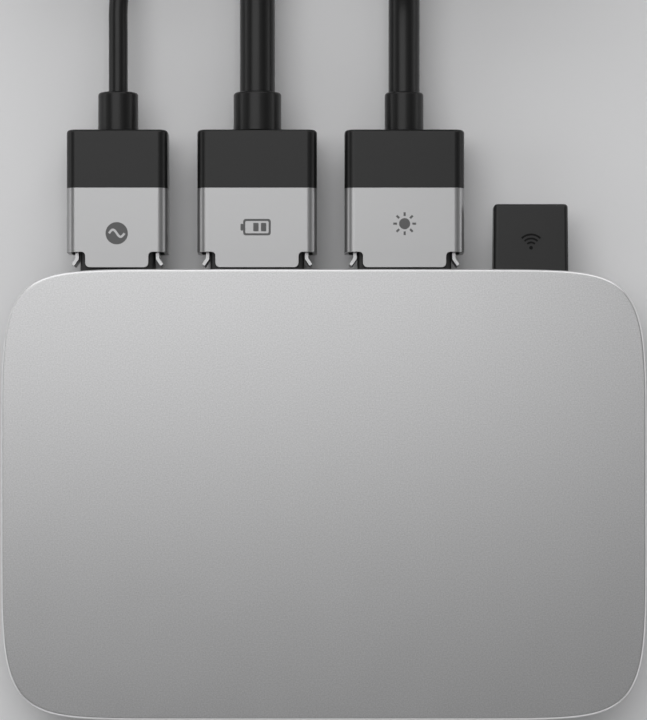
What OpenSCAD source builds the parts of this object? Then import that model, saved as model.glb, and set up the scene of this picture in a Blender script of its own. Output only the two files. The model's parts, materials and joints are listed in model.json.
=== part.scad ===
// Flat solar micro-inverter with an AC, a battery and a solar lead, each on a latching plug,
// and an antenna block beside them.
// It lies on its back: X to the right, Y towards the ports, Z towards the front face.
// The origin is the centre of the bolt pattern, in the plane of the four rear bosses.

/* [Body] */
// Width of the body
body_w = 242; // [238:1:256]
// Height of the body, from its lower edge to its port edge
body_h = 169; // [166:1:180]
// Depth of the body, from the rear bosses to the front face
body_d = 33; // [33:0.5:38]
// How square the outline is towards its left and right edges
outline_p = 10.8; // [9:0.1:13]
// How square the outline is towards its upper and lower edges
outline_q = 6; // [5:0.1:8]
// Radius of the front cover's edge
edge_r = 1.1; // [0.6:0.1:2]
// Height of the front cover's skirt, edge included
skirt_h = 7.2; // [6.5:0.1:8]
// Wall of the rear housing
wall = 3.4; // [3:0.1:4]

/* [Heat sink] */
// Distance from fin to fin
fin_pitch = 8; // [7:0.5:12]
// Thickness of a fin
fin_t = 1.8; // [1.4:0.1:2.4]
// Height of the fins, from the base plate to their tips
fin_h = 6.4; // [5:0.1:6.6]

/* [Mounting] */
// Bolt spacing across the width
bolt_x = 120; // [100:1:140]
// Bolt spacing along the height
bolt_y = 90; // [80:1:100]
// Radius of the tapped M5 holes
bolt_r = 2.1; // [2:0.05:2.2]

/* [Ports] */
// Centre of the AC port across the width
ac_x = -78; // [-80:0.1:-77]
// Centre of the battery port across the width
battery_x = -25.2; // [-26:0.1:-24]
// Centre of the solar port across the width
solar_x = 30.4; // [29:0.1:31]
// Centre of the antenna block across the width
antenna_x = 78.2; // [77:0.1:80]
// Width of the AC plug
ac_plug_w = 38.2; // [36:0.1:39]
// Width of the battery and solar plugs
dc_plug_w = 45.2; // [44:0.1:46]
// Thickness of the plugs
plug_t = 19; // [18.5:0.1:20]
// Width of the antenna block where it leaves the body
antenna_w = 28.4; // [27:0.1:30]
// How far the antenna block stands out of the port edge
antenna_h = 25.3; // [20:0.1:30]

/* [Latches] */
// Thickness of a latch arm
latch_t = 1.3; // [1.1:0.05:1.4]
// Width of a latch arm
latch_w = 12; // [10:0.1:13]
// Outward slant of a latch arm's finger tab
tab_angle = 34; // [20:1:40]

/* [Leads] */
// Diameter of the AC cord
ac_d = 7.2; // [6.8:0.1:7.4]
// Diameter of the battery cord
battery_d = 13.3; // [12.8:0.1:13.4]
// Diameter of the solar cord
solar_d = 11.8; // [11.4:0.1:12]
// Clear space between the turns of a coil
turn_gap = 0.6; // [0.5:0.05:0.8]

/* [Hidden] */
$fn = 48;

// Places of the three leads in the lists below
AC = 0;
BATTERY = 1;
SOLAR = 2;
LEADS = [AC, BATTERY, SOLAR];
port_x = [ac_x, battery_x, solar_x];
plug_w = [ac_plug_w, dc_plug_w, dc_plug_w];
cord_d = [ac_d, battery_d, solar_d];
relief_d = [15.2, 18.1, 14.7];

// Levels through the depth of the body
base_z = 7;
base_t = 2.5;
floor_z = base_z + base_t;
gasket_t = 0.8;
skirt_z = body_d - skirt_h;
rim_z = skirt_z - gasket_t;
ceiling_z = body_d - 2.5;
port_z = body_d / 2;
cover_wall = 2.5;
housing_inset = 0.6;
outline_n = 128;

// Levels along Y, from the port edge outwards
port_y = body_h / 2;
wall_y = port_y - housing_inset - wall;
seal_t = 0.8;
flange_t = 2.5;
flange_y = wall_y - seal_t - flange_t;
cavity_y = port_y + 1;
tongue_y = port_y + 1.1;
shoulder_y = port_y + 6.9;
collar_y = port_y + 14;
shell_y = port_y + 31.1;
cap_y = port_y + 53.1;
relief_y = port_y + 67.8;

// Plug and socket sections
plug_wall = 1.6;
plug_r = 4;
tongue_cut = [7.2, 6.9, 6.9];
collar_cut = [10.2, 9.8, 9.8];
collar_t = 12;
collar_wall = 1.6;
collar_w = plug_w - collar_cut;
flange_side = 7;
flange_h = 13.8;
antenna_flange = 3;
hole_play = 0.25;
contact_wall = 0.5;

// Contacts of each port: place across the port, and radius
contacts = [
    [[-8, 1.3], [0, 1.3], [8, 1.3]],
    [[-11, 2], [-3, 0.6], [0, 0.6], [3, 0.6], [11, 2]],
    [[-11.4, 1.5], [-3.8, 1.5], [3.8, 1.5], [11.4, 1.5]]
];

// Latch arm: hinge at its upper end, a nose on its inner side, and a slanted finger tab
latch_in = 3.9;
pin_r = 0.6;
pin_play = 0.05;
eye_r = 1.25;
pivot_y = port_y + 22.5;
nose_y = port_y + 10.5;
nose_r = 0.7;
nose_w = 5;
knee_y = port_y + 4.6;
tab_l = 2.7;

// Fasteners
screw_r = 1.5;
screw_play = 0.2;
boss_r = 4;
screw_xy = [for (s = [-1, 1]) each [[s * 103, 66], [s * 103, -66], [s * (body_w / 2 - 7.1), 0], [s * 45, -77]]];
board_xy = [for (s = [-1, 1]) each [[s * 88, 46], [s * 88, -52], [s * 5, 58]]];
head_r = 2.75;
head_h = 1.8;
inner_screw_l = 4.8;

// Boards
board_z = floor_z + 3.5;
board_t = 1.6;
board_top = board_z + board_t;
board_y = 66;

// Coils: centre from the end of the strain relief, outer radius, way round, first angle, turns in all,
// turns of one layer between its two reversals, and layer that the first turn lies in
coil_at = [[-83.4, 113], [battery_x + 78, 163.7], [62, 155.7]];
coil_r = [44, 78, 68];
coil_way = [1, -1, -1];
coil_from = [-45, 180, 220];
coil_turns = [12.208, 3.194, 3.444];
layer_turns = [1.618, 1.347, 1.137];
first_layer = [0, 1, 0];
// The solar cord's last part sweeps inwards, so that its splitter lies across the turns below
sweep_turns = 0.22;
sweep_rate = 200;
turn_rings = 24;
tie_t = 0.8;
stack_gap = 1.3;
turn_pitch = [for (d = cord_d) d + turn_gap];
// The solar coil lies on the battery coil
coil_base = [0, 0, tie_t + cord_d[BATTERY] + turn_pitch[BATTERY] + stack_gap];
lay_z = [for (i = LEADS) coil_base[i] + cord_d[i] / 2 + tie_t];

// Free stretches: sideways and onwards from the strain relief, and share of the exit height left
route = [
    [[0, 0, 1], [0, 11, 1], [0, 22, 1], [0, 33, 0.93], [1.1, 43.9, 0.74], [4.3, 54.4, 0.42], [9.5, 64.1, 0.15],
        [15.8, 71.9, 0.02]],
    [[0, 0, 1], [0, 12, 1], [0, 24, 1], [0, 38, 0.94], [0, 52, 0.77], [0, 66, 0.5], [0, 80, 0.22], [0, 94, 0.06],
        [0, 108, 0], [0, 126, 0]],
    [[0, 0, 1], [0, 12, 1], [0, 25, 1], [0, 33, 0.968], [0, 41, 0.874], [0, 49, 0.716], [0, 57, 0.508],
        [0, 64.8, 0.33], [-0.9, 75, 0.155], [-3.4, 84.9, 0.046], [-7.5, 94.2, 0.001]]
];
cord_sides = [10, 12, 12];

// Straight run from the end of a coil to the plug: distance along it, and share of the way up or down left
tail = [
    [[10, 1], [20, 1], [30, 0.93], [40, 0.77], [50, 0.55], [60, 0.32], [70, 0.13], [80, 0.01], [86, 0]],
    [[10, 1], [20, 0.9], [30, 0.6], [40, 0.2], [50, 0]],
    [[11.8, 1]]
];
plug_axis_z = [18.5, 11, 0];

// Points of the body's outline, moved in by an inset
function outline(inset) = [
    for (k = [0 : outline_n - 1])
        let (t = 360 * (k + 0.5) / outline_n, c = cos(t), s = sin(t))
        [
            (body_w / 2 - inset) * sign(c) * pow(abs(c), 2 / outline_p),
            (body_h / 2 - inset) * sign(s) * pow(abs(s), 2 / outline_q)
        ]
];

// Half height of the outline at a place across the width
function half_height(x, inset) =
    (body_h / 2 - inset) * pow(1 - pow(abs(x) / (body_w / 2 - inset), outline_p), 1 / outline_q);

// Corner points of a rounded rectangle
function rounded(w, h, r, steps = 6) = [
    for (q = [0 : 3], k = [0 : steps])
        let (
            a = 90 * (q + k / steps),
            sx = q == 0 || q == 3 ? 1 : -1,
            sy = q < 2 ? 1 : -1
        )
        [sx * (w / 2 - r) + r * cos(a), sy * (h / 2 - r) + r * sin(a)]
];

// Points of an arc
function arc(x, y, r, from, to, steps = 4) =
    [for (k = [0 : steps]) let (a = from + (to - from) * k / steps) [x + r * cos(a), y + r * sin(a)]];

// A ring of outline points at a height, and a rounded rectangle square to Y
function z_ring(points, z) = [for (p = points) [p[0], p[1], z]];
function y_ring(w, t, r, x, y) = [for (p = rounded(t, w, r, 5)) [x + p[1], y, port_z + p[0]]];

function unit(v) = v / norm(v);

// Turns run along a coil, seen as a wave that reverses once in each layer
function coil_wave(i, s) =
    let (m = layer_turns[i] + 0.5, u = s + 0.25, k = floor(u / m), f = u - k * m)
    (k % 2 == 0 ? f : m - f) - 0.25;

// Layers climbed along a coil: each climb takes the half turn about a reversal
function coil_level(i, s) =
    let (
        m = layer_turns[i] + 0.5,
        u = s + 0.25,
        j = round(u / m),
        x = max(0, min(1, (u - j * m) * 2 + 0.5))
    )
    j == 0 ? 0 : j - 1 + x * x * (3 - 2 * x);

function coil_angle(i, s) = coil_from[i] + coil_way[i] * 360 * s;
function coil_point(i, s) =
    let (a = coil_angle(i, s), r = coil_r[i] - turn_pitch[i] * coil_wave(i, s) - coil_sweep(i, s))
    [
        coil_at[i][0] + r * cos(a),
        relief_y + coil_at[i][1] + r * sin(a),
        lay_z[i] + turn_pitch[i] * abs(first_layer[i] - coil_level(i, s))
    ];
function coil_sweep(i, s) =
    i == SOLAR ? sweep_rate * pow(max(0, s - coil_turns[i] + sweep_turns), 2) : 0;

// Level heading of a coil's tube
function coil_heading(i, s) =
    let (step = 0.001, d = coil_point(i, s + step) - coil_point(i, s - step))
    unit([d[0], d[1], 0]);

// First and last points of a coil's tube, straight runs included
function coil_start(i) = coil_point(i, 0) - cord_d[i] * coil_heading(i, 0);
function tail_point(i, t) =
    let (end = coil_point(i, coil_turns[i]), to_z = i == SOLAR ? end[2] : plug_axis_z[i])
    let (p = end + t[0] * coil_heading(i, coil_turns[i]))
    [p[0], p[1], to_z + (end[2] - to_z) * t[1]];
function tail_end(i) = tail_point(i, tail[i][len(tail[i]) - 1]);

function coil_path(i) = concat(
    [coil_start(i)],
    [for (k = [0 : floor(coil_turns[i] * turn_rings)]) coil_point(i, k / turn_rings)],
    [for (t = tail[i]) tail_point(i, t)]
);

function cord_path(i) =
    let (start = coil_start(i))
    concat(
        [for (p = route[i]) [port_x[i] + p[0], relief_y + p[1], start[2] + (port_z - start[2]) * p[2]]],
        [start]
    );

// Least clear space between stretches of a tube that lie over a quarter turn apart
function self_gap(path, d, apart) = min([
    for (j = [0 : len(path) - 1])
        for (k = [j + apart : 1 : len(path) - 1])
            norm(path[j] - path[k])
]) - d;

// Solid through a list of rings with the same number of points
module skin(rings) {
    n = len(rings[0]);
    last = len(rings) - 1;
    sides = [
        for (i = [0 : last - 1], j = [0 : n - 1])
            let (a = i * n + j, b = i * n + (j + 1) % n)
            each [[a, a + n, b + n], [a, b + n, b]]
    ];
    first_cap = [for (j = [0 : n - 1]) j];
    last_cap = [for (j = [n - 1 : -1 : 0]) last * n + j];
    polyhedron([for (r = rings) each r], concat([first_cap], sides, [last_cap]));
}

// Tube along a path, with the headings of its two ends given
module tube(path, d, sides, first, last) {
    n = len(path) - 1;
    skin([
        for (k = [0 : n])
            let (
                along = k == 0 ? first : k == n ? last : unit(path[k + 1] - path[k - 1]),
                side = unit(cross([0, 0, 1], along)),
                up = cross(along, side)
            )
            [
                for (j = [0 : sides - 1])
                    let (a = 360 * (j + 0.5) / sides)
                    path[k] + d / 2 * (side * cos(a) + up * sin(a))
            ]
    ]);
}

// Flat shape in X and Z, extruded from one place along Y to another
module along_y(y0, y1) {
    translate([0, y1, 0])
        rotate([90, 0, 0])
            linear_extrude(y1 - y0)
                children();
}

module at_port(x) {
    translate([x, 0, port_z])
        children();
}

module at_each(places, z) {
    for (p = places)
        translate([p[0], p[1], z])
            children();
}

module rounded_rect(w, h, r, steps = 6) {
    polygon(rounded(w, h, r, steps));
}

// Round pin or hole along Y
module rod_y(y0, y1, r) {
    translate([0, y1, 0])
        rotate([90, 0, 0])
            cylinder(h = y1 - y0, r = r);
}

// Front cover: a shallow pan with a rounded edge and tapped bosses
module front_cover() {
    edge = [
        for (a = [0 : 22.5 : 90])
            z_ring(outline(edge_r * (1 - cos(a))), body_d - edge_r * (1 - sin(a)))
    ];
    inside = outline(cover_wall);
    color("silver")
        difference() {
            union() {
                skin(concat(
                    [z_ring(inside, ceiling_z), z_ring(inside, skirt_z), z_ring(outline(0), skirt_z)],
                    edge
                ));
                at_each(screw_xy, rim_z)
                    cylinder(h = ceiling_z - rim_z + 0.5, r = boss_r);
            }
            at_each(screw_xy, rim_z - 1)
                cylinder(h = 6, r = screw_r);
        }
}

module cover_gasket() {
    color("black")
        translate([0, 0, rim_z])
            linear_extrude(gasket_t)
                difference() {
                    polygon(outline(1));
                    polygon(outline(2.4));
                }
}

// Heat-sink fins, each as long as the outline leaves room for
module fins() {
    reach = floor((body_w / 2 - 14) / fin_pitch);
    for (k = [-reach : reach]) {
        x = k * fin_pitch;
        y = half_height(x, 7);
        translate([x - fin_t / 2, -y, base_z - fin_h])
            cube([fin_t, 2 * y, fin_h + 0.5]);
    }
}

// Rear housing: a finned tub with bosses, standoffs and the port openings
module rear_housing() {
    color("dimgray")
        difference() {
            union() {
                difference() {
                    translate([0, 0, base_z])
                        linear_extrude(rim_z - base_z)
                            polygon(outline(housing_inset));
                    translate([0, 0, floor_z])
                        linear_extrude(rim_z)
                            polygon(outline(housing_inset + wall));
                }
                at_each(screw_xy, base_z + 0.5)
                    cylinder(h = rim_z - base_z - 0.5, r = boss_r);
                at_each(board_xy, base_z + 0.5)
                    cylinder(h = board_z - base_z - 0.5, r = 3.2);
                difference() {
                    fins();
                    at_each(screw_xy, -1)
                        cylinder(h = base_z + 1, r = 5.5);
                }
                for (sx = [-1, 1], sy = [-1, 1])
                    translate([sx * bolt_x / 2, sy * bolt_y / 2, 0])
                        cylinder(h = base_z + 0.5, r = 8);
            }
            for (sx = [-1, 1], sy = [-1, 1])
                translate([sx * bolt_x / 2, sy * bolt_y / 2, -1])
                    cylinder(h = base_z + 2, r = bolt_r);
            at_each(screw_xy, base_z - 1)
                cylinder(h = rim_z, r = screw_r + screw_play);
            at_each(screw_xy, base_z)
                cylinder(h = 1.6, r1 = 2.9, r2 = screw_r);
            at_each(board_xy, board_z - 4.6)
                cylinder(h = 10, r = screw_r);
            for (i = LEADS)
                at_port(port_x[i]) {
                    along_y(wall_y - 5, port_y + 1)
                        rounded_rect(collar_w[i] + 2 * hole_play, collar_t + 2 * hole_play, 1.7, 3);
                    flange_seat(collar_w[i] + 2 * flange_side);
                    flange_screws(i)
                        rod_y(wall_y - 1, wall_y + 1.6, screw_r);
                }
            at_port(antenna_x) {
                along_y(wall_y - 5, port_y + 1)
                    rounded_rect(antenna_w + 2 * hole_play, collar_t + 0.4 + 2 * hole_play, 1.7, 3);
                flange_seat(antenna_w + 2 * antenna_flange);
            }
        }
}

// Flat seat inside the wall for a flange and its seal
module flange_seat(w) {
    along_y(wall_y - 6, wall_y)
        rounded_rect(w + 0.2, flange_h + 0.2, 2.1, 3);
}

module flange_screws(i) {
    for (s = [-1, 1])
        translate([s * (collar_w[i] / 2 + 3.5), 0, 0])
            children();
}

module cover_screws() {
    color("gray")
        at_each(screw_xy, base_z) {
            cylinder(h = 1.6, r1 = 2.9, r2 = screw_r);
            cylinder(h = rim_z - base_z + 4.5, r = screw_r);
        }
}

module main_board() {
    color("darkgreen")
        translate([0, 0, board_z])
            linear_extrude(board_t)
                difference() {
                    intersection() {
                        polygon(outline(12));
                        translate([-body_w, -body_h])
                            square([2 * body_w, body_h + board_y]);
                    }
                    for (p = screw_xy)
                        translate(p)
                            circle(boss_r + 1);
                    for (p = board_xy)
                        translate(p)
                            circle(screw_r + screw_play);
                }
}

// Two transformers in the middle of the board
transformer_xy = [[-32, -12], [34, -12]];
core_size = [42, 30, 14];
core_post_r = 7.5;
core_window_r = 14;
core_plate = 2.2;

module transformer_cores() {
    color("#3a3a3c")
        at_each(transformer_xy, board_top)
            difference() {
                translate([-core_size[0] / 2, -core_size[1] / 2, 0])
                    cube(core_size);
                translate([0, 0, core_plate])
                    difference() {
                        union() {
                            cylinder(h = core_size[2] - 2 * core_plate, r = core_window_r);
                            translate([-core_post_r - 2, -core_size[1], 0])
                                cube([2 * core_post_r + 4, 2 * core_size[1], core_size[2] - 2 * core_plate]);
                        }
                        cylinder(h = core_size[2], r = core_post_r);
                    }
            }
}

module transformer_windings() {
    color("peru")
        at_each(transformer_xy, board_top + core_plate)
            rotate_extrude()
                translate([core_post_r, 0])
                    polygon(rounded_spool(5.9, core_size[2] - 2 * core_plate, 0.8));
}

// Section of a wound spool: flanges at both ends of a slightly crowned winding
function rounded_spool(w, h, flange) = concat(
    [[0, 0], [w, 0], [w, flange], [w - 0.6, flange]],
    [for (k = [1 : 3]) [w - 0.6 + 0.4 * sin(45 * k), flange + (h - 2 * flange) * k / 4]],
    [[w - 0.6, h - flange], [w, h - flange], [w, h], [0, h]]
);

module filter_chokes() {
    color("darkgoldenrod")
        at_each([[-84, -24], [-84, 12]], board_top + 5.5)
            rotate_extrude()
                translate([10.5, 0])
                    polygon(rounded(9, 11, 3));
}

module bulk_capacitors() {
    color("#2b3140")
        for (k = [0 : 5])
            translate([-52 + 17 * k, -48, board_top])
                rotate_extrude()
                    polygon(concat([[0, 0], [6.2, 0], [6.2, 1.2], [5.8, 1.8], [6.2, 2.4]],
                        arc(5.4, 13.4, 0.8, 0, 90), [[0, 14.2]]));
}

module film_capacitors() {
    color("gold")
        for (k = [0 : 2])
            translate([76, -40 + 13 * k, board_top])
                linear_extrude(13)
                    rounded_rect(25, 10, 1, 3);
}

// Power transistors on the underside of the board, pressed to the base plate through pads
transistor_x = [for (k = [0 : 7]) -56 + 16 * k];
transistor_y = 26;
pad_t = 1;

module power_transistors() {
    color("#1d1d1f")
        for (x = transistor_x)
            translate([x - 5, transistor_y - 6, floor_z + pad_t])
                cube([10, 12, board_z - floor_z - pad_t]);
}

module thermal_pads() {
    color("lightsteelblue")
        for (x = transistor_x)
            translate([x - 6, transistor_y - 7, floor_z])
                cube([12, 14, pad_t]);
}

module grid_relays() {
    color("#20232a")
        for (x = [-96, -72])
            translate([x + 9, 58, board_top])
                linear_extrude(13)
                    rounded_rect(20, 16, 0.8, 3);
}

// Control board on four posts above the main board, with its radio module
control_at = [64, 20];
control_size = [36, 30, 1.2];
control_z = 6;

module control_board() {
    color("seagreen")
        translate([control_at[0], control_at[1], board_top]) {
            translate([0, 0, control_z])
                cube(control_size);
            translate([8, 9, control_z + control_size[2] - 0.2])
                cube([18, 14, 2.6]);
            for (x = [1.5, control_size[0] - 4], y = [1.5, control_size[1] - 4])
                translate([x, y, 0])
                    cube([2.5, 2.5, control_z + 0.5]);
        }
}

// One size of pan-head screw holds the board and the socket flanges
module inner_screw() {
    cylinder(h = head_h, r = head_r);
    translate([0, 0, -inner_screw_l])
        cylinder(h = inner_screw_l + 0.5, r = screw_r);
}

module inner_screws() {
    color("lightgray") {
        at_each(board_xy, board_top)
            inner_screw();
        for (i = LEADS)
            at_port(port_x[i])
                flange_screws(i)
                    translate([0, flange_y, 0])
                        rotate([90, 0, 0])
                            inner_screw();
    }
}

// Socket: flange inside the wall, collar out through it, and a guide groove for each latch nose
module socket(i) {
    w = collar_w[i];
    color("#222326")
        at_port(port_x[i])
            difference() {
                union() {
                    along_y(flange_y - 5.5, collar_y)
                        rounded_rect(w, collar_t, 1.5, 3);
                    along_y(flange_y, flange_y + flange_t)
                        rounded_rect(w + 2 * flange_side, flange_h, 2, 3);
                }
                along_y(cavity_y, collar_y + 1)
                    rounded_rect(w - 2 * collar_wall, collar_t - 2 * collar_wall, 0.8, 3);
                for (s = [-1, 1])
                    translate([s * (w / 2 + 0.25) - 1, nose_y - 3, -nose_w / 2 - 0.5])
                        cube([2, collar_y, nose_w + 1]);
                for (c = contacts[i])
                    translate([c[0], 0, 0])
                        rod_y(flange_y - 6, cavity_y + 1, c[1]);
                flange_screws(i)
                    rod_y(flange_y - 1, flange_y + flange_t + 1, screw_r + screw_play);
            }
}

module socket_pins() {
    color("goldenrod")
        for (i = LEADS)
            at_port(port_x[i])
                for (c = contacts[i])
                    translate([c[0], 0, 0]) {
                        rod_y(flange_y - 9, collar_y - 2.5, c[1]);
                        translate([0, collar_y - 2.5, 0])
                            rotate([-90, 0, 0])
                                cylinder(h = 0.5, r1 = c[1], r2 = c[1] - 0.3);
                    }
}

module port_seals() {
    color("#141414") {
        for (i = LEADS)
            at_port(port_x[i])
                difference() {
                    along_y(wall_y - seal_t, wall_y)
                        rounded_rect(collar_w[i] + 2 * flange_side, flange_h, 2, 3);
                    along_y(wall_y - 2, wall_y + 1)
                        rounded_rect(collar_w[i], collar_t, 1.5, 3);
                    flange_screws(i)
                        rod_y(wall_y - 2, wall_y + 1, screw_r + screw_play);
                }
        at_port(antenna_x)
            difference() {
                along_y(wall_y - seal_t, wall_y)
                    rounded_rect(antenna_w + 2 * antenna_flange, flange_h, 2, 3);
                along_y(wall_y - 2, wall_y + 1)
                    rounded_rect(antenna_w, collar_t + 0.4, 1.5, 5);
            }
    }
}

// Antenna block: a hollow cover with a slight draft and a rounded end
antenna_draft = 0.25;
antenna_wall = 1.6;
antenna_round = 1.2;

module antenna_cover() {
    end_y = port_y + antenna_h;
    t = collar_t + 0.4;
    end_w = antenna_w - 2 * antenna_draft;
    in_w = antenna_w - 2 * antenna_wall;
    in_t = t - 2 * antenna_wall;
    color("#2c2d30")
        union() {
            skin(concat(
                [
                    y_ring(in_w - 2 * antenna_draft, in_t - 0.6, 0.8, antenna_x, end_y - antenna_wall),
                    y_ring(in_w, in_t, 0.8, antenna_x, port_y),
                    y_ring(in_w, in_t, 0.8, antenna_x, flange_y),
                    y_ring(antenna_w, t, 1.5, antenna_x, flange_y),
                    y_ring(antenna_w, t, 1.5, antenna_x, port_y)
                ],
                [
                    for (a = [0 : 22.5 : 90])
                        let (in = 2 * antenna_round * (1 - cos(a)))
                        y_ring(end_w - in, t - 0.6 - in, 1.5 - in * 0.3, antenna_x,
                            end_y - antenna_round * (1 - sin(a)))
                ]
            ));
            at_port(antenna_x)
                difference() {
                    along_y(flange_y, flange_y + flange_t)
                        rounded_rect(antenna_w + 2 * antenna_flange, flange_h, 2, 3);
                    along_y(flange_y - 1, flange_y + flange_t + 1)
                        rounded_rect(antenna_w - 1, t - 1, 1, 3);
                }
        }
}

// Antenna board: its tip meets the end of the cover, and its foot stands on the main board
module antenna_board() {
    color("darkgreen") {
        at_port(antenna_x) {
            translate([-10, board_y - 8, -0.5])
                cube([20, port_y + antenna_h - antenna_wall - board_y + 8, 1]);
            translate([-6, board_y - 7, board_top - port_z])
                cube([12, 5, port_z - board_top]);
        }
    }
}

// Plug shell: a rounded tube whose lower end is cut back at both sides, leaving two tongues
module plug_shell(i) {
    w = plug_w[i];
    in_w = w - 2 * plug_wall;
    in_t = plug_t - 2 * plug_wall;
    color("#bfc0c2")
        at_port(port_x[i])
            difference() {
                along_y(tongue_y, shell_y)
                    rounded_rect(w, plug_t, plug_r, 8);
                along_y(tongue_y - 1, shell_y + 1)
                    rounded_rect(in_w, in_t, plug_r - plug_wall, 8);
                translate([0, 0, -plug_t])
                    linear_extrude(2 * plug_t)
                        side_cuts(w, tongue_cut[i]);
                latch_pivots(i)
                    cylinder(h = in_t + 2.2, r = pin_r, center = true);
            }
}

// Flat outline of the two cuts beside the tongues
module side_cuts(w, cut) {
    x = w / 2 - cut;
    tip_r = 1.7;
    root_r = 1.5;
    for (s = [0, 1])
        mirror([s, 0])
            polygon(concat(
                [[w, tongue_y - 1], [w, shoulder_y]],
                arc(x + root_r, shoulder_y - root_r, root_r, 90, 180),
                arc(x - tip_r, tongue_y + tip_r, tip_r, 0, -90),
                [[x - tip_r, tongue_y - 1]]
            ));
}

module latch_pivots(i) {
    for (s = [-1, 1])
        translate([s * (plug_w[i] / 2 - latch_in), pivot_y, 0])
            children();
}

// Cap over the back of the plug, with a spigot into the shell
module plug_cap(i) {
    w = plug_w[i];
    x = port_x[i];
    end_r = 1.2;
    color("#2a2b2d")
        union() {
            skin(concat(
                [y_ring(w, plug_t, plug_r, x, shell_y)],
                [
                    for (a = [0 : 22.5 : 90])
                        let (in = end_r * (1 - cos(a)))
                        y_ring(w - 2 * in, plug_t - 2 * in, plug_r - in, x, cap_y - end_r * (1 - sin(a)))
                ]
            ));
            at_port(x)
                along_y(shell_y - 3, shell_y + 1)
                    rounded_rect(w - 2 * plug_wall - 0.2, plug_t - 2 * plug_wall - 0.2, plug_r - plug_wall - 0.1, 4);
        }
}

// Contact carrier: its root sits in the shell, its nose goes into the socket
module plug_insert(i) {
    w = collar_w[i];
    nose_play = 0.6;
    color("#3a3b3e")
        at_port(port_x[i])
            difference() {
                union() {
                    along_y(cavity_y + 1.7, collar_y + 3)
                        rounded_rect(w - 2 * collar_wall - nose_play, collar_t - 2 * collar_wall - nose_play, 0.6, 3);
                    along_y(collar_y + 1, shell_y - 3)
                        rounded_rect(w - 1.2, plug_t - 2 * plug_wall, 1, 3);
                }
                for (c = contacts[i])
                    translate([c[0], 0, 0])
                        rod_y(cavity_y, shell_y, c[1] + contact_wall);
            }
}

// Female contacts: a sleeve round each pin and a solid crimp behind it
module plug_contacts(i) {
    color("gold")
        at_port(port_x[i])
            for (c = contacts[i])
                translate([c[0], 0, 0])
                    difference() {
                        rod_y(cavity_y + 2.5, shell_y - 3, c[1] + contact_wall);
                        rod_y(cavity_y + 1, collar_y + 2, c[1] + 0.1);
                    }
}

// Latch arm on the left (side -1) or right (side 1) of a plug
module latch(i, side) {
    tab = [sin(tab_angle), -cos(tab_angle)];
    mitre = latch_t / 2 * tan(tab_angle / 2);
    half = latch_t / 2;
    across = [cos(tab_angle), sin(tab_angle)] * half;
    knee = [0, knee_y - pivot_y];
    tip = knee + tab * tab_l;
    strip = [
        [half, 0], knee + [half, mitre], tip + across, tip + tab * half * 0.4 + across * 0.7,
        tip + tab * half * 0.4 - across * 0.7, tip - across, knee + [-half, -mitre], [-half, 0]
    ];
    color("#d0d1d3")
        at_port(port_x[i])
            translate([side * (plug_w[i] / 2 - latch_in), pivot_y, 0])
                mirror([side < 0 ? 1 : 0, 0, 0])
                    difference() {
                        union() {
                            translate([0, 0, -latch_w / 2])
                                linear_extrude(latch_w)
                                    union() {
                                        polygon(strip);
                                        circle(eye_r);
                                    }
                            translate([-half, nose_y - pivot_y, -nose_w / 2])
                                cylinder(h = nose_w, r = nose_r);
                        }
                        cylinder(h = 2 * latch_w, r = pin_r + pin_play, center = true);
                    }
}

module latch_pins(i) {
    color("gray")
        at_port(port_x[i])
            latch_pivots(i)
                cylinder(h = plug_t - 2 * plug_wall + 2.2, r = pin_r, center = true);
}

// Strain relief: a short round boot with a rounded end
module strain_relief(i) {
    r = relief_d[i] / 2;
    l = relief_y - cap_y;
    end_r = 1.1;
    color("#26272a")
        at_port(port_x[i])
            translate([0, cap_y, 0])
                rotate([-90, 0, 0])
                    rotate_extrude()
                        polygon(concat([[0, 0], [r, 0]], arc(r - end_r, l - end_r, end_r, 0, 90), [[0, l]]));
}

module cord(i) {
    color("#1c1d1f")
        tube(cord_path(i), cord_d[i], cord_sides[i], [0, 1, 0], coil_heading(i, 0));
}

module coil(i) {
    path = coil_path(i);
    echo(coil = i, least_gap = self_gap(path, cord_d[i], turn_rings / 2), rings = len(path));
    color("#1c1d1f")
        tube(path, cord_d[i], 6, coil_heading(i, 0), coil_heading(i, coil_turns[i]));
}

// Places a part made along its own Z on the far end of a lead
module on_tail(i) {
    h = coil_heading(i, coil_turns[i]);
    translate(tail_end(i))
        rotate([0, 0, atan2(h[1], h[0])])
            rotate([0, 90, 0])
                children();
}

// Profile of a boot with round grooves, from its small end
function grooved(r0, r1, l, grooves, depth) = [
    for (k = [0 : 4 * grooves])
        let (f = k / (4 * grooves), r = r0 + (r1 - r0) * f)
        [r - (k % 4 == 2 ? depth : 0), l * f]
];

// Mains plug: grooved boot, domed back, round body with two earth grooves
wall_plug_r = 18.5;
wall_boot_l = 24;
wall_back_l = 16;
wall_plug_l = 58;

module ac_wall_plug() {
    color("#202124")
        on_tail(AC)
            difference() {
                rotate_extrude()
                    polygon(concat(
                        [[0, 0]],
                        grooved(5, 8, wall_boot_l, 4, 0.9),
                        [[11, wall_boot_l + 1]],
                        [
                            for (a = [0 : 15 : 90])
                                [11 + (wall_plug_r - 11) * sin(a), wall_boot_l + 1 + wall_back_l * (1 - cos(a))]
                        ],
                        arc(wall_plug_r - 1, wall_plug_l - 1, 1, 0, 90),
                        [[0, wall_plug_l]]
                    ));
                for (s = [-1, 1])
                    translate([s * wall_plug_r, 0, wall_plug_l - 8])
                        cube([5, 6, 20], center = true);
                for (s = [-1, 1])
                    translate([0, s * 9.5, wall_plug_l - 8])
                        cylinder(h = 10, r = 2.4);
            }
}

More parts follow.
